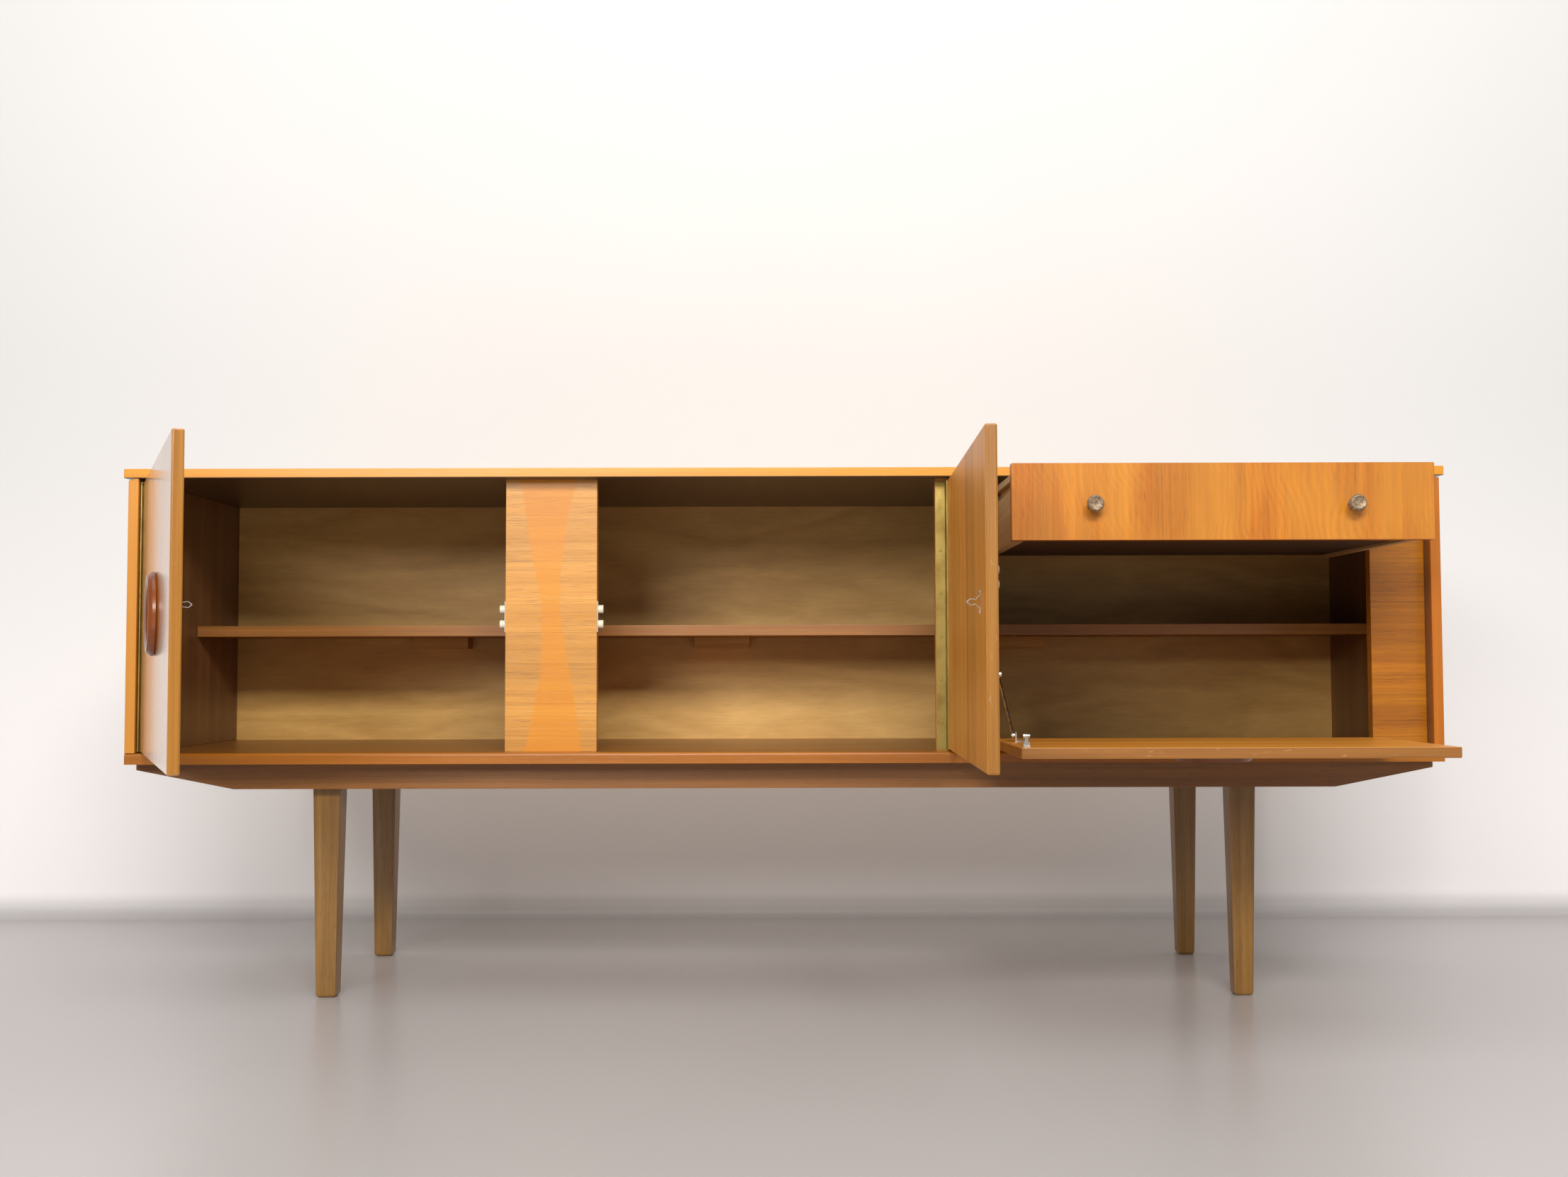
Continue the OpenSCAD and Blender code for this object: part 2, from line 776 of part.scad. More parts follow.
// A turned knob on a slim neck, with a dished face.
module knob(x) {
    z = drawer_z + drawer_front_h * 0.457;
    placed() color("gray") pulled() translate([x, door_set, z]) rotate([90, 0, 0])
        rotate_extrude() polygon([
            [0, 0], [knob_r * 0.72, 0], [knob_r * 0.56, knob_out * 0.15],
            [knob_r * 0.56, knob_out * 0.45], [knob_r * 0.95, knob_out * 0.68],
            [knob_r, knob_out * 0.78], [knob_r * 0.88, knob_out * 0.95],
            [knob_r * 0.74, knob_out], [knob_r * 0.62, knob_out * 0.97],
            [knob_r * 0.4, knob_out * 0.93], [0, knob_out * 0.91]
        ]);
}

module left_knob() {
    knob(front_l + knob_in);
}

module right_knob() {
    knob(front_r - knob_in);
}

top_panel();
bottom_panel();
left_side();
right_side();
back_panel();
left_partition();
right_partition();
centre_stile();
hinge_stile();
end_stile();
left_shelf();
middle_shelf();
right_shelf();
left_cleat();
middle_cleat();
right_cleat();
left_runner();
right_runner();
runner_bearer();
front_apron();
rear_rail();
left_cross_rail();
right_cross_rail();
front_left_leg();
front_right_leg();
rear_left_leg();
rear_right_leg();
left_door();
left_pull();
left_strike();
left_side_leaf();
left_door_leaf();
left_hinge_pin();
middle_door();
middle_pull();
middle_strike();
stile_leaf();
middle_door_leaf();
middle_hinge_pin();
stile_leaf_screws();
flap();
flap_pull();
flap_strike();
floor_leaf();
flap_leaf();
flap_hinge_pin();
left_catch();
middle_catch();
flap_catch();
stay_bracket();
stay_rod();
stay_eye();
stay_plate();
drawer_front();
drawer_left_side();
drawer_right_side();
drawer_back();
drawer_bottom();
left_knob();
right_knob();
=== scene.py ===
"""A low teak sideboard with its doors, flap and drawer open.

The cabinet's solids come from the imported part. This script gives them their woods, metals and
plastics, eases their edges, and sets up the room, the lamps and the camera. Lengths are in metres.
"""

import math

import bpy
import numpy as np
from mathutils import Matrix, Vector

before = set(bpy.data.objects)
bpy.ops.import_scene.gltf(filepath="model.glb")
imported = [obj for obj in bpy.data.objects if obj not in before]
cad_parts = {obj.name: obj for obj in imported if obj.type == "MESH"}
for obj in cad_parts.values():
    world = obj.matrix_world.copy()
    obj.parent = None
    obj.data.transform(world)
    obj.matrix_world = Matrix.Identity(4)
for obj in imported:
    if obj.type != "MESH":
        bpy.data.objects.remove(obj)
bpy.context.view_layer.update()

FRONT = 0.047686          # the carcass front's place along Y
LEFT_HINGE = (-0.8929, FRONT + 0.0070, 0.0)
MIDDLE_HINGE = (0.2275, FRONT + 0.0229, 0.0)
FLAP_HINGE = (0.2885, FRONT + 0.0070, 0.3486)
LEFT_SWING = math.radians(-65.9)
MIDDLE_SWING = math.radians(88.6)
LEFT_WIDTH, MIDDLE_WIDTH, FLAP_DEPTH = 0.5667, 0.5521, 0.2723   # from each pin to the free edge
LEFT_FACES = (0.0021, 0.0156)       # the outer and inner faces, from the pin; the flap's too
MIDDLE_FACES = (-0.0138, -0.0003)
GLUE_DEPTH = 0.0009                 # the face veneer with its glue line
TOP_UNDERSIDE = 0.728
LIP_DEPTH = 0.006                   # the solid strips on the sides' front edges
STRIP_END = 0.0054                  # where the floor board's rounded strip ends, behind the front
SHELF_FRONT = 0.2368                # the shelves' front edges, behind the front
STILE_X, STILE_Z, STILE_HALF = -0.3254, 0.54, 0.064
STILE_REACH = 0.19                  # half the stile's height
DRAWER_X, DRAWER_HALF, DRAWER_LOW = 0.5565, 0.2680, 0.6225
DRAWER_JOINTS = (0.352, 0.470, 0.585, 0.700)     # where the veneer leaves meet
DRAWER_BOARD = 0.6290               # just inside the drawer's bottom board
HAIR = 0.0002                       # half of a sharp change of tone


def turned(x, y, angle):
    """A level direction (x, y) turned about the upright."""
    c, s = math.cos(angle), math.sin(angle)
    return (x * c - y * s, x * s + y * c, 0.0)


# ---------------------------------------------------------------- material building blocks

class S:
    """A socket that can be used in sums and products."""

    def __init__(self, graph, socket):
        self.g, self.socket = graph, socket

    def __add__(self, o):
        return self.g.math("ADD", self, o)

    def __radd__(self, o):
        return self.g.math("ADD", o, self)

    def __sub__(self, o):
        return self.g.math("SUBTRACT", self, o)

    def __rsub__(self, o):
        return self.g.math("SUBTRACT", o, self)

    def __mul__(self, o):
        return self.g.math("MULTIPLY", self, o)

    def __rmul__(self, o):
        return self.g.math("MULTIPLY", o, self)

    def __truediv__(self, o):
        return self.g.math("DIVIDE", self, o)

    def __rtruediv__(self, o):
        return self.g.math("DIVIDE", o, self)


class Graph:
    """One material's nodes."""

    def __init__(self, name):
        self.mat = bpy.data.materials.new(name)
        self.mat.use_nodes = True
        self.tree = self.mat.node_tree
        self.tree.nodes.clear()

    def node(self, kind, settings=(), inputs=()):
        n = self.tree.nodes.new(kind)
        for k, v in dict(settings).items():
            setattr(n, k, v)
        for k, v in dict(inputs).items():
            if isinstance(v, S):
                self.tree.links.new(v.socket, n.inputs[k])
            else:
                n.inputs[k].default_value = v
        return n

    def out(self, kind, settings=(), inputs=(), output=0):
        return S(self, self.node(kind, settings, inputs).outputs[output])

    def math(self, op, *values):
        return self.out("ShaderNodeMath", {"operation": op}, dict(enumerate(values)))

    def vmath(self, op, *values, output=0):
        return self.out("ShaderNodeVectorMath", {"operation": op}, dict(enumerate(values)), output)

    def most(self, a, b):
        return self.math("MAXIMUM", a, b)

    def step(self, x, low, high):
        """0 under low, 1 over high and smooth between them."""
        return self.out("ShaderNodeMapRange", {"interpolation_type": "SMOOTHSTEP", "clamp": True},
                        {0: x, 1: low, 2: high, 3: 0.0, 4: 1.0})

    def within(self, x, low, high, soft):
        return self.step(x, low - soft, low + soft) * (1.0 - self.step(x, high - soft, high + soft))

    def mix(self, f, a, b):
        pair = [v if isinstance(v, S) else (*v, 1.0) for v in (a, b)]
        return self.out("ShaderNodeMix", {"data_type": "RGBA"}, {0: f, 6: pair[0], 7: pair[1]}, 2)

    def scale(self, colour, f):
        """A colour made lighter or darker."""
        return self.out("ShaderNodeVectorMath", {"operation": "SCALE"}, {0: colour, 3: f})

    def vec(self, x, y, z):
        return self.out("ShaderNodeCombineXYZ", (), {0: x, 1: y, 2: z})

    def noise(self, vector, scale=1.0, detail=2.0, rough=0.5):
        return self.out("ShaderNodeTexNoise", {"noise_dimensions": "3D"},
                        {"Vector": vector, "Scale": scale, "Detail": detail, "Roughness": rough})

    def place(self, origin, *directions):
        """Distances from an origin along some directions, on the object at rest."""
        p = self.out("ShaderNodeTexCoord", output=3)
        rel = self.vmath("SUBTRACT", p, origin)
        return [self.vmath("DOT_PRODUCT", rel, d, output=1) for d in directions]

    def finish(self, colour, rough, metallic=0.0, coat=0.0, bump=None, bump_m=0.0002, **constants):
        inputs = {"Base Color": colour if isinstance(colour, S) else (*colour, 1.0),
                  "Roughness": rough, "Metallic": metallic, "Coat Weight": coat, **constants}
        if bump is not None:
            inputs["Normal"] = self.out("ShaderNodeBump", (), {"Strength": 0.35, "Distance": bump_m,
                                                              "Height": bump})
        shader = self.out("ShaderNodeBsdfPrincipled", (), inputs)
        self.node("ShaderNodeOutputMaterial", (), {"Surface": shader})
        return self.mat


def linear(r, g, b, vivid=1.0):
    """A colour from its usual 0-255 values, made more vivid if asked."""
    c = [(v / 255 / 12.92) if v <= 10 else ((v / 255 + 0.055) / 1.055) ** 2.4 for v in (r, g, b)]
    grey = 0.3 * c[0] + 0.55 * c[1] + 0.15 * c[2]
    return tuple(max(0.002, grey + (v - grey) * vivid) for v in c)


def stain(r, g, b):
    """An oiled wood's colour."""
    return linear(r, g, b, 1.12)


X, Y, Z = (1, 0, 0), (0, 1, 0), (0, 0, 1)


class Wood:
    """A board's wood: fibres along the first direction, growth bands across the second."""

    def __init__(self, name, along, across, origin=(0, 0, 0), seed=0.0, wander=0.02):
        g = self.g = Graph(name)
        depth = tuple(Vector(along).cross(Vector(across)))
        self.a, self.b, self.c = g.place(origin, along, across, depth)
        a, b, c = self.a + seed, self.b, self.c
        drift = g.noise(g.vec(a * 1.4, b * 3.0, c * 3.0 + seed), detail=1.0) - 0.5
        self.bw = b + drift * wander
        self.seed = seed

    def streaks(self, along, across, detail=2.0, rough=0.5, shift=0.0):
        g = self.g
        return g.noise(g.vec((self.a + self.seed) * along, self.bw * across + shift,
                             self.c * across + self.seed), detail=detail, rough=rough)

    def colour(self, dark, mid, light, bands=34.0, contrast=1.0, pores=0.5):
        """Bands of three tones with fine fibres and dark pores."""
        g = self.g
        band = self.streaks(0.9, bands, 3.0, 0.6)
        broad = self.streaks(0.7, bands / 6, 1.0, 0.5, 7.0)
        fibre = self.streaks(7.0, 420.0, 2.0, 0.6, 3.0)
        pore = g.step(self.streaks(45.0, 1300.0, 0.0, 0.5, 11.0), 0.60, 0.74)
        tone = g.mix(g.step(band, 0.5 - 0.22 / contrast, 0.5 + 0.22 / contrast), dark, light)
        tone = g.mix(0.55, tone, mid)
        tone = g.scale(tone, 0.72 + 0.56 * broad)
        tone = g.scale(tone, 1.0 + contrast * 0.35 * (fibre - 0.5))
        vein = self.streaks(2.6, 130.0, 3.0, 0.65, 5.0)
        tone = g.scale(tone, 1.0 + contrast * 0.75 * (vein - 0.5))
        self.fibre, self.pore = fibre, pore
        return g.scale(tone, 1.0 - pores * 0.45 * pore)


def teak(name, along, across, tones, origin=(0, 0, 0), seed=0.0, bands=34.0, contrast=1.0,
         pores=0.5, rough=0.42, coat=0.0, wander=0.02, extra=None):
    w = Wood(name, along, across, origin, seed, wander)
    colour = w.colour(*tones, bands, contrast, pores)
    if extra:
        colour = extra(w, colour)
    return w.g.finish(colour, rough + 0.12 * (w.fibre - 0.5), coat=coat, bump=w.fibre - 0.6 * w.pore,
                      **{"Coat Roughness": 0.18})


AMBER = (stain(158, 88, 30), stain(188, 116, 44), stain(208, 142, 66))
HONEY = (stain(194, 130, 58), stain(210, 150, 76), stain(222, 168, 96))
BROWN = (stain(128, 80, 40), stain(154, 102, 54), stain(176, 124, 72))
RED = (stain(92, 58, 36), stain(120, 82, 52), stain(142, 104, 68))
DEEP = (stain(104, 64, 32), stain(130, 86, 44), stain(150, 102, 56))
FRONTS = (stain(152, 98, 46), stain(184, 124, 60), stain(204, 146, 80))
LEG = (stain(112, 80, 42), stain(136, 100, 54), stain(154, 118, 68))

mat = {}

# ---------------------------------------------------------------- carcass woods

def top_edges(w, colour):
    """A warm solid strip along the front edge, and a darker underside: painted shade under the top,
    which also throws less light into the cabinet.
    """
    g = w.g
    y, z = g.place((0, FRONT, 0), Y, Z)
    front = 1.0 - g.step(y, -0.0013, -0.0007)        # the board stands 2 mm proud
    strip = g.mix(w.streaks(2.0, 160.0, 3.0), stain(196, 130, 46), stain(220, 158, 72))
    # painted shade: the underside takes a dark, dull brown
    under = g.scale(linear(84, 62, 44), 0.8 + 0.4 * w.fibre)
    shaded_below = 1.0 - g.step(z, TOP_UNDERSIDE - 0.0005, TOP_UNDERSIDE + 0.0005)
    return g.mix(shaded_below, g.mix(front, colour, strip), under)


mat["top"] = teak("teak top", X, Y, HONEY, seed=1.0, bands=26, rough=0.34, coat=0.15,
                  extra=top_edges)


def lipped(tones):
    """A solid strip down the panel's front edge."""
    def extra(w, colour):
        g = w.g
        y, = g.place((0, FRONT, 0), Y)
        near = 1.0 - g.step(y, LIP_DEPTH - HAIR, LIP_DEPTH + HAIR)
        line = g.within(y, LIP_DEPTH - 0.0003, LIP_DEPTH + 0.0003, HAIR)
        strip = g.mix(w.streaks(3.0, 160.0, 2.0), tones[0], tones[1])
        return g.scale(g.mix(near, colour, strip), 1.0 - 0.5 * line)
    return extra


mat["left side"] = teak("teak left side", Z, Y, RED, seed=2.0, rough=0.4,
                        extra=lipped(HONEY[:2]))
# The right side's front strip takes darker tones than the left's: painted shade, as that side of the
# cabinet stands in shade.
mat["right side"] = teak("teak right side", Z, Y, RED, seed=3.1, rough=0.4,
                         extra=lipped(AMBER[:2]))


def floor_board(w, colour):
    """The front edge is a rounded solid strip of a deeper colour."""
    g = w.g
    y, = g.place((0, FRONT, 0), Y)
    front = 1.0 - g.step(y, STRIP_END - HAIR, STRIP_END + HAIR)
    strip = g.mix(w.streaks(2.0, 120.0, 3.0), stain(134, 78, 18), stain(176, 112, 32))
    return g.mix(front, colour, strip)


mat["bottom"] = teak("teak bottom board", X, Y, BROWN, seed=4.0, rough=0.36, coat=0.1,
                     extra=floor_board)


def shelf_edge(w, colour):
    """The lipping on the shelves' front edges."""
    g = w.g
    y, = g.place((0, FRONT, 0), Y)
    front = 1.0 - g.step(y, SHELF_FRONT - HAIR, SHELF_FRONT + HAIR)
    return g.mix(front, colour, g.mix(w.streaks(2.0, 200.0, 3.0), BROWN[0], BROWN[2]))


mat["shelf"] = teak("teak shelves", X, Y, BROWN, seed=5.0, rough=0.4, extra=shelf_edge)
mat["partition"] = teak("teak partitions", Z, Y, RED, seed=6.0, rough=0.45)


def ply():
    """Rotary-cut plywood: a faint wavy figure that runs level, fine fibres and soft cloudy spots."""
    w = Wood("plywood back", X, Z, (0, 0, 0.5), 2.3, wander=0.05)
    g = w.g
    swirl = g.noise(g.vec(w.a * 2.4, w.b * 8.0, 3.0), detail=2.0)
    wave = g.math("SINE", (w.b * 90.0 + swirl * 34.0 + w.a * 3.0)) * 0.5 + 0.5
    fine = w.streaks(14.0, 620.0, 2.0, 0.6)
    flecks = g.noise(g.vec(w.a * 34.0, w.b * 150.0, 1.0), detail=2.0, rough=0.6)
    clouds = g.noise(g.vec(w.a * 5.0, w.b * 11.0, 6.0), detail=3.0, rough=0.6)
    tone = g.mix(0.30 + 0.25 * wave, stain(190, 146, 84), stain(232, 194, 128))
    tone = g.scale(tone, 0.78 + 0.44 * clouds)
    tone = g.scale(tone, 0.86 + 0.28 * flecks)
    tone = g.scale(tone, 0.88 + 0.24 * fine)
    return g.finish(tone, 0.5, bump=fine, bump_m=0.0001)


mat["ply"] = ply()
PALE = (linear(150, 126, 88), linear(176, 152, 110), linear(196, 172, 130))
mat["pale"] = teak("pale softwood", Y, Z, PALE, seed=8.0, pores=0.1, rough=0.6)


def painted_shade_underneath(w, colour):
    """The drawer's bottom board is painted dark and dull underneath: painted shade under the drawer."""
    g = w.g
    z, = g.place((0, 0, 0), Z)
    # painted shade: below the board's top the colour turns dark
    shaded_below = 1.0 - g.step(z, DRAWER_BOARD - HAIR, DRAWER_BOARD + HAIR)
    return g.mix(shaded_below, colour, g.scale(linear(66, 48, 34), 0.8 + 0.4 * w.fibre))


mat["drawer bottom"] = teak("drawer bottom", Y, X, PALE, seed=8.2, pores=0.1, rough=0.7,
                            extra=painted_shade_underneath)
mat["cleats"] = teak("cleats", X, Z, (stain(190, 138, 78), stain(208, 158, 94), stain(222, 176, 112)),
                     seed=8.5, pores=0.1, rough=0.6)
mat["apron"] = teak("dark apron", X, Z, DEEP, seed=9.0, bands=40, rough=0.38, coat=0.1)

for side, shift in {"front_left": 0.0, "front_right": 1.7, "rear_left": 3.1, "rear_right": 4.6}.items():
    mat[side] = teak("leg " + side, Z, X, LEG, seed=10.0 + shift, bands=60, rough=0.34, coat=0.15,
                     wander=0.01)

# ---------------------------------------------------------------- stiles and drawer front

def old_veneer(figure):
    """Level grain with uneven dark lines, and on one stile a golden figure narrow at mid height."""
    def extra(w, colour):
        g = w.g
        thread = w.streaks(1.1, 620.0, 2.0, 0.6, 2.0)
        faint = w.streaks(2.0, 150.0, 0.0, 0.5, 5.0)
        lines = g.step(thread, 0.55, 0.66) * g.step(faint, 0.38, 0.6)
        if not figure:
            return g.scale(colour, 1.0 - 0.30 * lines)
        x, z = g.place((STILE_X, 0, STILE_Z), X, Z)
        edge = g.noise(g.vec(x * 10.0, z * 9.0, 4.0), detail=2.0) - 0.5
        flare = g.math("POWER", g.math("ABSOLUTE", z / STILE_REACH), 1.4)
        reach = STILE_HALF * (0.19 + 0.42 * flare) + edge * 0.012
        inside = 1.0 - g.step(g.math("ABSOLUTE", x + 0.006 * g.math("SINE", z * 14.0)) - reach,
                              -0.002, 0.003)
        gold = g.mix(w.streaks(4.0, 60.0, 2.0), stain(194, 120, 26), stain(214, 147, 46))
        body = g.scale(colour, 1.0 - 0.38 * lines)
        return g.mix(inside * 0.75, body, g.scale(gold, 1.0 - 0.2 * lines))
    return extra


TAN = (stain(170, 114, 54), stain(194, 140, 74), stain(210, 159, 93))
OCHRE = (stain(142, 82, 20), stain(168, 104, 28), stain(190, 128, 46))
mat["centre stile"] = teak("centre stile veneer", X, Z, TAN, seed=12.0, bands=70, contrast=0.7,
                           rough=0.36, extra=old_veneer(True))
mat["hinge stile"] = teak("hinge stile veneer", X, Z, TAN, seed=13.0, bands=70, contrast=0.7,
                          rough=0.4, extra=old_veneer(False))
mat["end stile"] = teak("end stile veneer", X, Z, OCHRE, seed=14.0, bands=60, contrast=0.8,
                        rough=0.32, coat=0.1, extra=old_veneer(False))


def leaves(edges):
    """Upright veneer leaves of slightly different tone, with a hairline at each joint."""
    def extra(w, colour):
        g = w.g
        x, y, z = g.place((0, FRONT, 0), X, Y, Z)
        for i, e in enumerate(edges):
            side = g.step(x, e - HAIR, e + HAIR)
            colour = g.scale(colour, 1.0 + side * (0.10 if i % 2 == 0 else -0.09))
            colour = g.scale(colour, 1.0 - 0.25 * g.within(x, e - 0.0003, e + 0.0003, 0.0003))
        flame = g.noise(g.vec(x * 9.0, w.b * 9.0, z * 4.0 + 5.0), detail=3.0)
        curl = g.noise(g.vec(x * 60.0, z * 14.0, 2.0), detail=2.0)
        sway = g.noise(g.vec(x * 7.0, z * 9.0, 8.0), detail=1.0)
        arch = g.math("SINE", (x + sway * 0.10 + z * 0.22) * 700.0) * 0.5 + 0.5
        colour = g.mix(0.6 * g.step(flame, 0.40, 0.62), colour, g.scale(AMBER[2], 0.92 + 0.16 * curl))
        colour = g.scale(colour, 0.90 + 0.10 * arch * g.step(sway, 0.35, 0.65) + 0.08 * curl)
        end = g.step(g.math("ABSOLUTE", x - DRAWER_X), DRAWER_HALF - 0.0008, DRAWER_HALF - 0.0004)
        low = 1.0 - g.step(z, DRAWER_LOW + 0.0007, DRAWER_LOW + 0.0011)
        rim = g.most(end, low)
        return g.mix(rim * 0.8, g.scale(colour, 0.88), stain(150, 86, 40))
    return extra


mat["drawer front"] = teak("drawer front veneer", Z, X, AMBER, seed=15.0, bands=30, contrast=0.9,
                           rough=0.34, coat=0.12, wander=0.03,
                           extra=leaves(DRAWER_JOINTS))

# ---------------------------------------------------------------- doors and flap

def slab(name, along, out, origin, width, faces, tones, seed, edge, rough, coat=0.0):
    """A veneered board. out points from the hinge to the free edge; faces are its two depths."""
    depth = tuple(Vector(out).cross(Vector(along)))
    w = Wood(name, along, out, origin, seed)
    g = w.g
    colour = w.colour(*tones, 30, 0.9, 0.5)
    u, = g.place(origin, out)
    d, = g.place(origin, tuple(faces[2]))
    core_tone = g.mix(w.streaks(3.0, 260.0, 3.0, 0.6, 9.0), *edge)
    near, far = faces[0] + GLUE_DEPTH, faces[1] - GLUE_DEPTH
    core = g.within(d, near, far, HAIR)
    line = g.most(g.within(d, near - HAIR, near + 0.0004, 0.0003),
                  g.within(d, far - 0.0004, far + HAIR, 0.0003))
    free = g.step(u, width - 0.0005, width - 0.0003)
    worn = g.step(g.noise(g.vec(w.a * 60.0, w.b * 60.0, w.c * 160.0), detail=3.0), 0.64, 0.74)
    colour = g.mix(free * core, colour, g.mix(0.35 * worn, core_tone, linear(196, 160, 108)))
    colour = g.scale(colour, 1.0 - free * line * 0.45)
    return w, colour, u, d, rough, coat


def close(parts, extra=None):
    """Finishes a slab's material, with any marks of its own."""
    w, colour, u, d, rough, coat = parts
    if extra:
        colour = extra(w, colour, u, d)
    return w.g.finish(colour, rough + 0.1 * (w.fibre - 0.5), coat=coat, bump=w.fibre - 0.6 * w.pore,
                      **{"Coat Roughness": 0.12})


out_left = turned(1, 0, LEFT_SWING)
in_left = turned(0, 1, LEFT_SWING)
out_mid = turned(-1, 0, MIDDLE_SWING)
in_mid = turned(0, 1, MIDDLE_SWING)

CORE = (stain(126, 80, 34), stain(178, 126, 60))
mat["left door"] = close(slab("left door veneer", Z, out_left, LEFT_HINGE, LEFT_WIDTH,
                              (*LEFT_FACES, in_left), FRONTS, 20.0, CORE, 0.28, 0.8))


def scuffs_and_lit_face(w, colour, u, d):
    """A few pale scratches, a leaf joint in the veneer, and an inner face made paler: painted light
    standing in for light falling on that face.
    """
    g = w.g
    z, = g.place((0, 0, 0), Z)
    mark = g.noise(g.vec(u * 200.0, z * 46.0, 1.0), detail=2.0)
    spot = g.within(u, 0.455, 0.495, 0.006) * g.within(z, 0.43, 0.49, 0.01)
    colour = g.mix(spot * g.step(mark, 0.66, 0.70) * 0.8, colour, linear(230, 200, 170))
    # painted light: the inner face is made half again as pale, as if lit
    colour = g.scale(colour, 1.0 + 0.5 * g.step(d, -0.0010, -0.0008))
    return g.scale(colour, 1.0 - 0.16 * g.step(u, 0.2998, 0.3002))


mat["middle door"] = close(slab("middle door veneer", Z, out_mid, MIDDLE_HINGE, MIDDLE_WIDTH,
                                (*MIDDLE_FACES, in_mid), FRONTS, 21.0, CORE, 0.42), scuffs_and_lit_face)
# The flap's upward inner face is made paler: painted light, as if lit from above.
mat["flap"] = close(slab("flap veneer", X, (0, -1, 0), FLAP_HINGE, FLAP_DEPTH, (*LEFT_FACES, Z),
                         FRONTS, 22.0, (stain(120, 78, 40), stain(162, 112, 62)), 0.38),
                    lambda w, colour, u, d: w.g.scale(colour, 1.0 + 0.4 * w.g.step(d, 0.0150, 0.0152)))


def ring():
    """Turned teak, streaked along the upright."""
    g = Graph("turned teak")
    p = g.out("ShaderNodeTexCoord", output=3)
    streak = g.noise(g.vmath("MULTIPLY", p, (60.0, 60.0, 9.0)), detail=3.0)
    fine = g.noise(g.vmath("MULTIPLY", p, (600.0, 600.0, 60.0)), detail=2.0)
    tone = g.mix(streak, stain(96, 46, 20), stain(146, 80, 38))
    return g.finish(g.scale(tone, 0.85 + 0.3 * fine), 0.3, coat=0.2, bump=fine, bump_m=0.0001)


mat["pull"] = ring()

# ---------------------------------------------------------------- metals and plastics

def metal(name, light, dark, rough, spots=60.0, metallic=1.0):
    """A metal with duller, darker stains; spots is how many fit in a metre."""
    g = Graph(name)
    p = g.out("ShaderNodeTexCoord", output=3)
    stain = g.noise(g.vmath("MULTIPLY", p, (spots, spots, spots)), detail=4.0, rough=0.6)
    tone = g.mix(g.step(stain, 0.38, 0.66), light, dark)
    return g.finish(tone, rough + 0.25 * (stain - 0.4), metallic=metallic)


mat["brass"] = metal("worn brass", linear(168, 147, 84), linear(142, 120, 65), 0.42, 25.0)
mat["wire"] = metal("bright steel", linear(214, 212, 206), linear(150, 146, 138), 0.28)
mat["pewter"] = metal("antique pewter", linear(164, 142, 116), linear(104, 86, 66), 0.5, 300.0, 0.45)


def nylon():
    """The catches: cream rollers on thin steel plates."""
    g = Graph("cream nylon")
    x, = g.place((0, 0, 0), X)
    left = g.math("ABSOLUTE", x - STILE_X)
    plate = 1.0 - g.step(left, 0.0651, 0.0654)
    right = g.within(x, 0.2930, 0.2949, 0.0001)
    on = g.most(plate, right)
    stain = g.noise(g.vmath("MULTIPLY", g.out("ShaderNodeTexCoord", output=3), (90.0, 90.0, 90.0)))
    tone = g.mix(stain, linear(232, 226, 206), linear(206, 196, 168))
    return g.finish(g.mix(on, tone, linear(168, 160, 146)), 0.45, metallic=on * 0.9)


mat["nylon"] = nylon()

# ---------------------------------------------------------------- dressing the solids

LOOK = {
    "top_panel": "top", "bottom_panel": "bottom", "left_side": "left side",
    "right_side": "right side", "back_panel": "ply", "left_partition": "partition",
    "right_partition": "partition", "centre_stile": "centre stile", "hinge_stile": "hinge stile",
    "end_stile": "end stile", "left_shelf": "shelf", "middle_shelf": "shelf",
    "right_shelf": "shelf", "left_cleat": "cleats", "middle_cleat": "cleats",
    "right_cleat": "cleats", "left_runner": "pale", "right_runner": "pale",
    "runner_bearer": "pale", "front_apron": "apron", "rear_rail": "apron",
    "left_cross_rail": "apron", "right_cross_rail": "apron",
    "front_left_leg": "front_left", "front_right_leg": "front_right",
    "rear_left_leg": "rear_left", "rear_right_leg": "rear_right",
    "left_door": "left door", "middle_door": "middle door", "flap": "flap",
    "left_pull": "pull", "middle_pull": "pull", "flap_pull": "pull",
    "left_strike": "wire", "middle_strike": "wire", "flap_strike": "wire",
    "left_side_leaf": "brass", "left_door_leaf": "brass", "left_hinge_pin": "brass",
    "stile_leaf": "brass", "middle_door_leaf": "brass", "middle_hinge_pin": "brass",
    "stile_leaf_screws": "brass", "floor_leaf": "brass", "flap_leaf": "brass",
    "flap_hinge_pin": "brass", "left_catch": "nylon", "middle_catch": "nylon",
    "flap_catch": "nylon", "stay_bracket": "wire", "stay_rod": "wire", "stay_eye": "wire",
    "stay_plate": "wire", "drawer_front": "drawer front", "drawer_left_side": "pale",
    "drawer_right_side": "pale", "drawer_back": "pale", "drawer_bottom": "drawer bottom",
    "left_knob": "pewter", "right_knob": "pewter",
}
EASE = {
    "top_panel": 0.0012, "left_side": 0.0008, "right_side": 0.0008, "left_door": 0.0022,
    "middle_door": 0.0022, "flap": 0.0015, "drawer_front": 0.0010, "front_apron": 0.0008,
    "rear_rail": 0.0008, "front_left_leg": 0.0045, "front_right_leg": 0.0045,
    "rear_left_leg": 0.0045, "rear_right_leg": 0.0045, "left_shelf": 0.0006,
    "middle_shelf": 0.0006, "right_shelf": 0.0006, "centre_stile": 0.0007,
    "hinge_stile": 0.0006, "end_stile": 0.0006, "left_cleat": 0.001, "middle_cleat": 0.001,
    "right_cleat": 0.001,
}

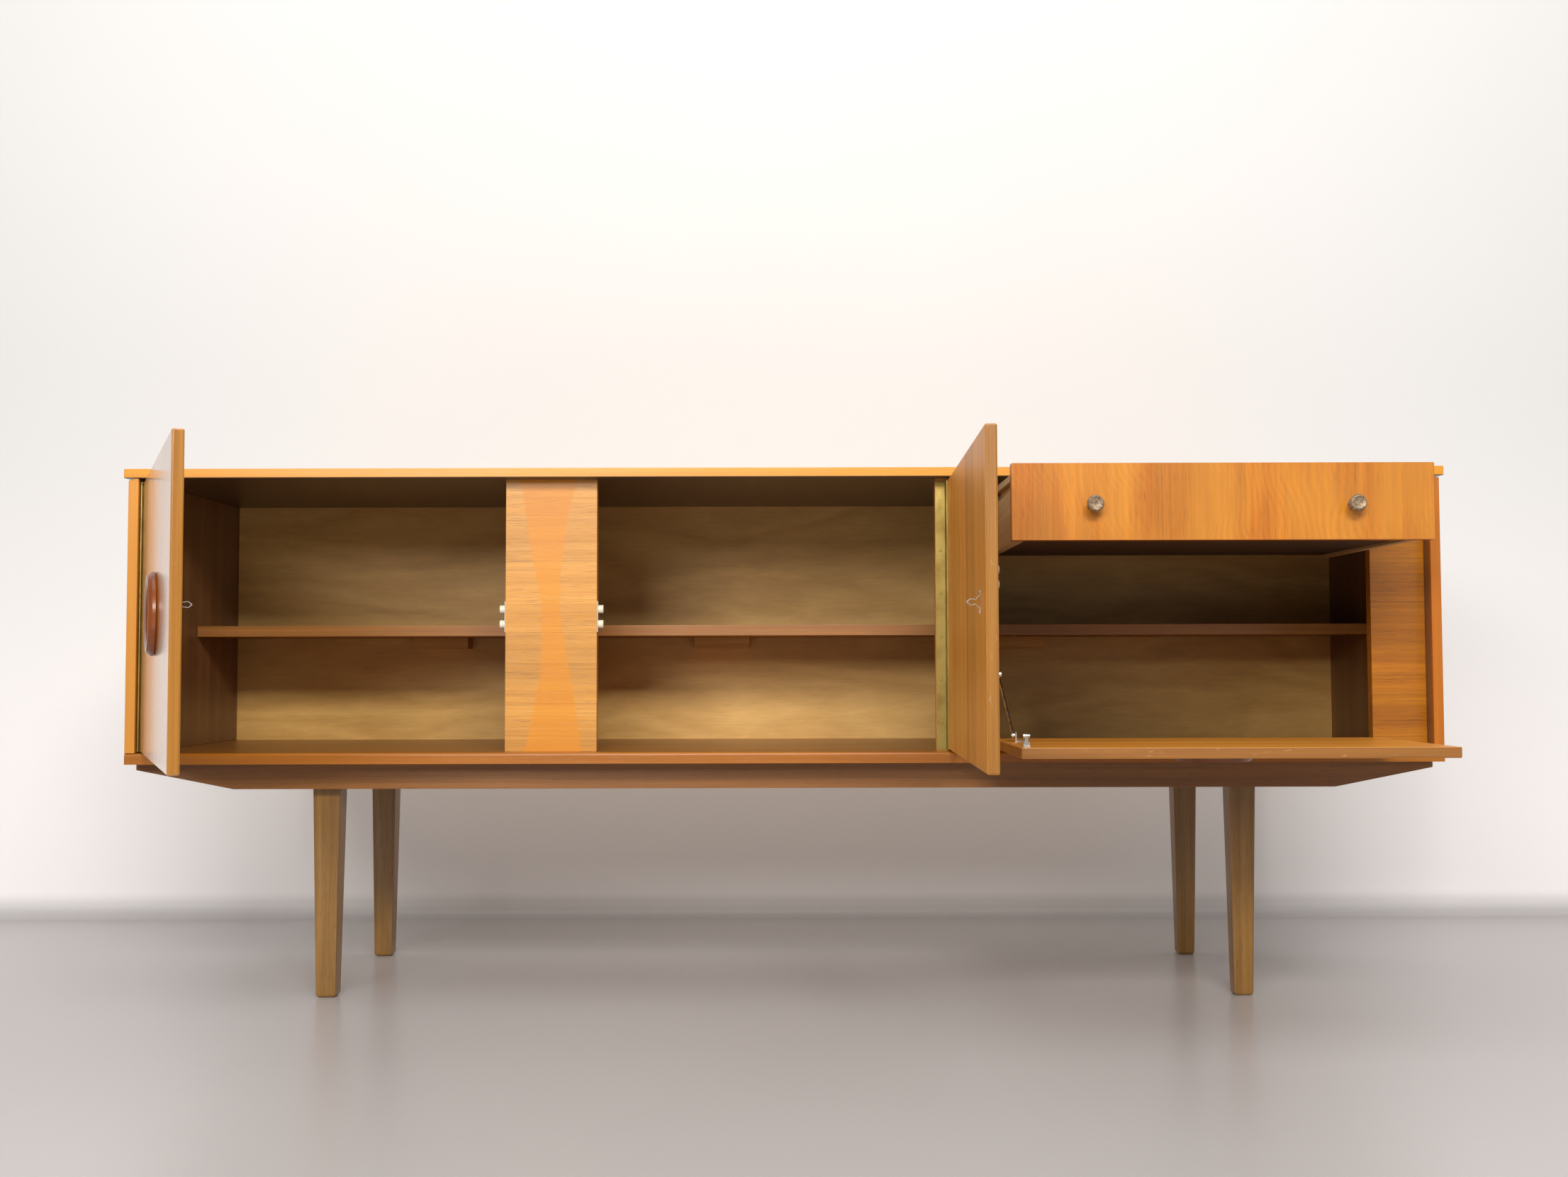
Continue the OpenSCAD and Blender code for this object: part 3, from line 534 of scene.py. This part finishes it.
for name, look in LOOK.items():
    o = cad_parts[name]
    o.data.materials.clear()
    o.data.materials.append(mat[look])
    ease = EASE.get(name)
    if ease:
        weld = o.modifiers.new("weld", "WELD")
        weld.merge_threshold = 1e-5
        bevel = o.modifiers.new("eased edges", "BEVEL")
        bevel.width = ease
        bevel.segments = 3
        bevel.limit_method = "ANGLE"
        bevel.angle_limit = math.radians(40)
        bevel.harden_normals = False

# ---------------------------------------------------------------- room, light and camera

def sheet_of(name, ys, zs, half):
    """A strip of paper: the section (ys, zs) carried straight along X from -half to half."""
    n = len(ys)
    verts = [(x, float(y), float(z)) for x in (-half, half) for y, z in zip(ys, zs)]
    faces = [(i, n + i, n + i + 1, i + 1) for i in range(n - 1)]
    me = bpy.data.meshes.new(name)
    me.from_pydata(verts, [], faces)
    me.polygons.foreach_set("use_smooth", [True] * len(faces))
    o = bpy.data.objects.new(name, me)
    bpy.context.scene.collection.objects.link(o)
    o.data.materials.append(paper)


def sweep(back, rise, bend):
    """A floor that bends up into a backdrop.

    With s along the section: (y, z) = (s, 0) on the floor, then a quarter circle of radius
    bend centred on (back - bend, bend), then straight up to the height rise.
    """
    t = np.linspace(0.0, math.pi / 2, 40)
    ys = np.concatenate([np.linspace(-6.0, back - bend, 20)[:-1], back - bend + bend * np.sin(t),
                         np.full(12, back)])
    zs = np.concatenate([np.zeros(19), bend - bend * np.cos(t), np.linspace(bend, rise, 13)[1:]])
    return ys, zs


def room():
    """Pale paper, greyer on the floor, that lets light and sight through from behind."""
    g = Graph("studio paper")
    z, = g.place((0, 0, 0), Z)
    grain = g.noise(g.vmath("MULTIPLY", g.out("ShaderNodeTexCoord", output=3), (2.0, 2.0, 2.0)),
                    detail=3.0)
    up = g.step(z, 0.0, 0.05)
    # painted light: the wall is paler low down, making up for the shade under the cabinet, and greyer
    # higher up where the light is brightest
    wall_with_painted_light = g.mix(g.step(z, 0.2, 1.1), linear(246, 243, 243), linear(220, 220, 220))
    tone = g.scale(g.mix(up, linear(176, 172, 171), wall_with_painted_light), 0.98 + 0.04 * grain)
    front = g.out("ShaderNodeBsdfPrincipled", (), {"Base Color": tone, "Roughness": 0.28 + 0.5 * up})
    through = g.out("ShaderNodeBsdfTransparent")
    behind = g.out("ShaderNodeNewGeometry", output="Backfacing")
    both = g.out("ShaderNodeMixShader", (), {0: behind, 1: front, 2: through})
    g.node("ShaderNodeOutputMaterial", (), {"Surface": both})
    return g.mat


paper = room()
sheet_of("floor and backdrop", *sweep(0.86, 5.0, 0.03), 7.0)
sheet_of("floor behind", np.linspace(0.86, 7.0, 4), np.zeros(4), 7.0)


WARM = (1.0, 0.97, 0.93)


def lamp(name, place, aim, size, watts, colour=(1, 1, 1)):
    """A flat rectangular lamp turned towards a point."""
    data = bpy.data.lights.new(name, "AREA")
    data.shape = "RECTANGLE"
    data.size, data.size_y = size
    data.energy = watts
    data.color = colour
    o = bpy.data.objects.new(name, data)
    o.location = place
    o.rotation_mode = "QUATERNION"
    o.rotation_quaternion = (Vector(aim) - Vector(place)).to_track_quat("-Z", "Y")
    bpy.context.scene.collection.objects.link(o)


lamp("key", (0.35, -3.4, 2.5), (0.0, 0.2, 0.5), (1.8, 0.7), 118, WARM)
lamp("fill", (2.6, -3.0, 1.5), (0.4, 0.2, 0.5), (2.0, 2.0), 8, WARM)
lamp("low front", (-1.3, -4.0, 1.75), (0.0, 0.2, 0.5), (1.6, 0.9), 70, WARM)
lamp("overhead", (0.0, -0.6, 3.2), (0.0, 0.3, 0.0), (4.0, 2.0), 38)

world = bpy.data.worlds.new("soft room")
world.use_nodes = True
world.node_tree.nodes["Background"].inputs[0].default_value = (1.0, 1.0, 1.0, 1.0)
world.node_tree.nodes["Background"].inputs[1].default_value = 0.27
bpy.context.scene.world = world
bpy.context.scene.view_settings.view_transform = "Standard"

cam_data = bpy.data.cameras.new("camera")
cam_data.lens = 37.77
cam_data.sensor_width = 36.0
cam_data.clip_start, cam_data.clip_end = 0.05, 60.0
cam = bpy.data.objects.new("camera", cam_data)
cam.matrix_world = (Matrix.Translation((0.0, -2.2248, 0.463))
                    @ Matrix.Rotation(math.radians(90 + 2.74), 4, "X")
                    @ Matrix.Rotation(math.radians(-0.14), 4, "Z"))
bpy.context.scene.collection.objects.link(cam)
bpy.context.scene.camera = cam

# ---------------------------------------------------------------- final update

bpy.context.view_layer.update()
